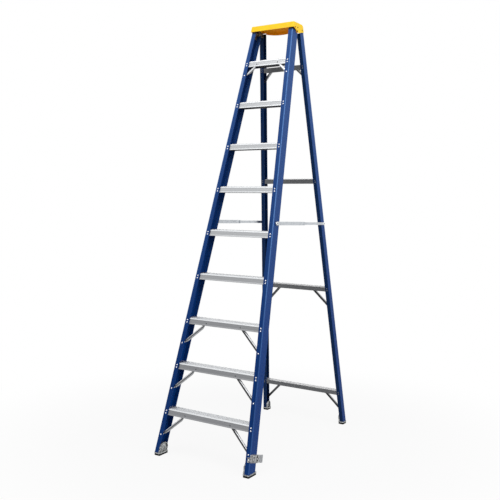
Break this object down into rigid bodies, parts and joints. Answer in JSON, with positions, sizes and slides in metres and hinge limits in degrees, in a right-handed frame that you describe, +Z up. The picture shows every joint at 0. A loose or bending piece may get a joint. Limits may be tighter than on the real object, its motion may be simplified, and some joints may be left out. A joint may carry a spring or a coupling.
{
  "type": "a-frame step ladder",
  "caption": "Folding A-frame step ladder with fibreglass channel rails, ribbed aluminium steps, a moulded cap, a braced rear frame and two folding spreaders.",
  "frame": {"origin": "on the floor, in the middle of the footprint", "axes": "+Z up, -Y towards the climbing side, +X to the climber's right"},
  "size_m": [0.7394, 1.3878, 2.9049],
  "materials": {
    "black_rubber": "moulded",
    "blue_fibreglass": "satin pultruded fibreglass",
    "brace_aluminium": "mill finish",
    "bush_plastic": "moulded",
    "dark_steel": "zinc plated",
    "grey_plastic": "textured",
    "plate_steel": "zinc plated",
    "ribbed_aluminium": "ribbed mill finish",
    "rivet_aluminium": "bright",
    "shoe_aluminium": "cast",
    "strap_aluminium": "pressed mill finish",
    "yellow_plastic": "moulded, slightly glossy",
    "zinc_steel": "zinc plated"
  },
  "bodies": {
    "front_frame": {"front_pad_left": "black_rubber", "front_pad_right": "black_rubber", "front_rail_left": "blue_fibreglass", "front_rail_right": "blue_fibreglass", "front_rivets": "rivet_aluminium", "front_shoe_left": "shoe_aluminium", "front_shoe_right": "shoe_aluminium", "hinge_bolts": "dark_steel", "hinge_plate_left": "plate_steel", "hinge_plate_right": "plate_steel", "keeper": "zinc_steel", "keeper_block": "grey_plastic", "knee_brace_1_left": "strap_aluminium", "knee_brace_1_right": "strap_aluminium", "knee_brace_2_left": "strap_aluminium", "knee_brace_2_right": "strap_aluminium", "knee_brace_3_left": "strap_aluminium", "knee_brace_3_right": "strap_aluminium", "knee_brace_9_left": "strap_aluminium", "knee_brace_9_right": "strap_aluminium", "small_bolts": "dark_steel", "spreader_front_studs": "zinc_steel", "step_1": "ribbed_aluminium", "step_2": "ribbed_aluminium", "step_3": "ribbed_aluminium", "step_4": "ribbed_aluminium", "step_5": "ribbed_aluminium", "step_6": "ribbed_aluminium", "step_7": "ribbed_aluminium", "step_8": "ribbed_aluminium", "step_9": "ribbed_aluminium", "top_cap": "yellow_plastic", "top_nuts": "dark_steel"},
    "rear_frame": {"hinge_bushes": "bush_plastic", "rear_brace_1": "brace_aluminium", "rear_brace_2": "brace_aluminium", "rear_brace_3": "brace_aluminium", "rear_brace_4": "brace_aluminium", "rear_diagonal_1_left": "strap_aluminium", "rear_diagonal_1_right": "strap_aluminium", "rear_diagonal_2_left": "strap_aluminium", "rear_diagonal_2_right": "strap_aluminium", "rear_diagonal_4_left": "strap_aluminium", "rear_diagonal_4_right": "strap_aluminium", "rear_pad_left": "black_rubber", "rear_pad_right": "black_rubber", "rear_rail_left": "blue_fibreglass", "rear_rail_right": "blue_fibreglass", "rear_rivets": "rivet_aluminium", "rear_shoe_left": "shoe_aluminium", "rear_shoe_right": "shoe_aluminium", "spreader_rear_studs": "zinc_steel"},
    "spreader_front_left": {"spreader_front_arm_left": "zinc_steel", "lap_rivet_front_left": "zinc_steel"},
    "spreader_front_right": {"spreader_front_arm_right": "zinc_steel", "lap_rivet_front_right": "zinc_steel"},
    "spreader_rear_left": {"spreader_rear_arm_left": "zinc_steel", "lap_rivet_rear_left": "zinc_steel"},
    "spreader_rear_right": {"spreader_rear_arm_right": "zinc_steel", "lap_rivet_rear_right": "zinc_steel"}
  },
  "joints": [
    {"name": "fold", "type": "hinge", "parent": "front_frame", "child": "rear_frame", "pos_m": [0, 0.22042, 2.86292], "axis": [-1, 0, 0], "range_deg": [0, 24.4]},
    {"name": "spreader_front_left_turn", "type": "hinge", "parent": "front_frame", "child": "spreader_front_left", "pos_m": [-0.2666, -0.24189, 1.52796], "axis": [1, 0, 0], "range_deg": [0, 55.25]},
    {"name": "spreader_rear_left_turn", "type": "hinge", "parent": "rear_frame", "child": "spreader_rear_left", "pos_m": [-0.2633, 0.43031, 1.51796], "axis": [-1, 0, 0], "range_deg": [0, 87.75]},
    {"name": "spreader_front_right_turn", "type": "hinge", "parent": "front_frame", "child": "spreader_front_right", "pos_m": [0.2666, -0.24189, 1.52796], "axis": [1, 0, 0], "range_deg": [0, 55.25]},
    {"name": "spreader_rear_right_turn", "type": "hinge", "parent": "rear_frame", "child": "spreader_rear_right", "pos_m": [0.2633, 0.43031, 1.51796], "axis": [-1, 0, 0], "range_deg": [0, 87.75]}
  ],
  "couplings": [
    {"joint": "spreader_front_left_turn", "follows": "fold", "ratio": 2.2639},
    {"joint": "spreader_rear_left_turn", "follows": "fold", "ratio": 3.5961},
    {"joint": "spreader_front_right_turn", "follows": "fold", "ratio": 2.2639},
    {"joint": "spreader_rear_right_turn", "follows": "fold", "ratio": 3.5961}
  ]
}
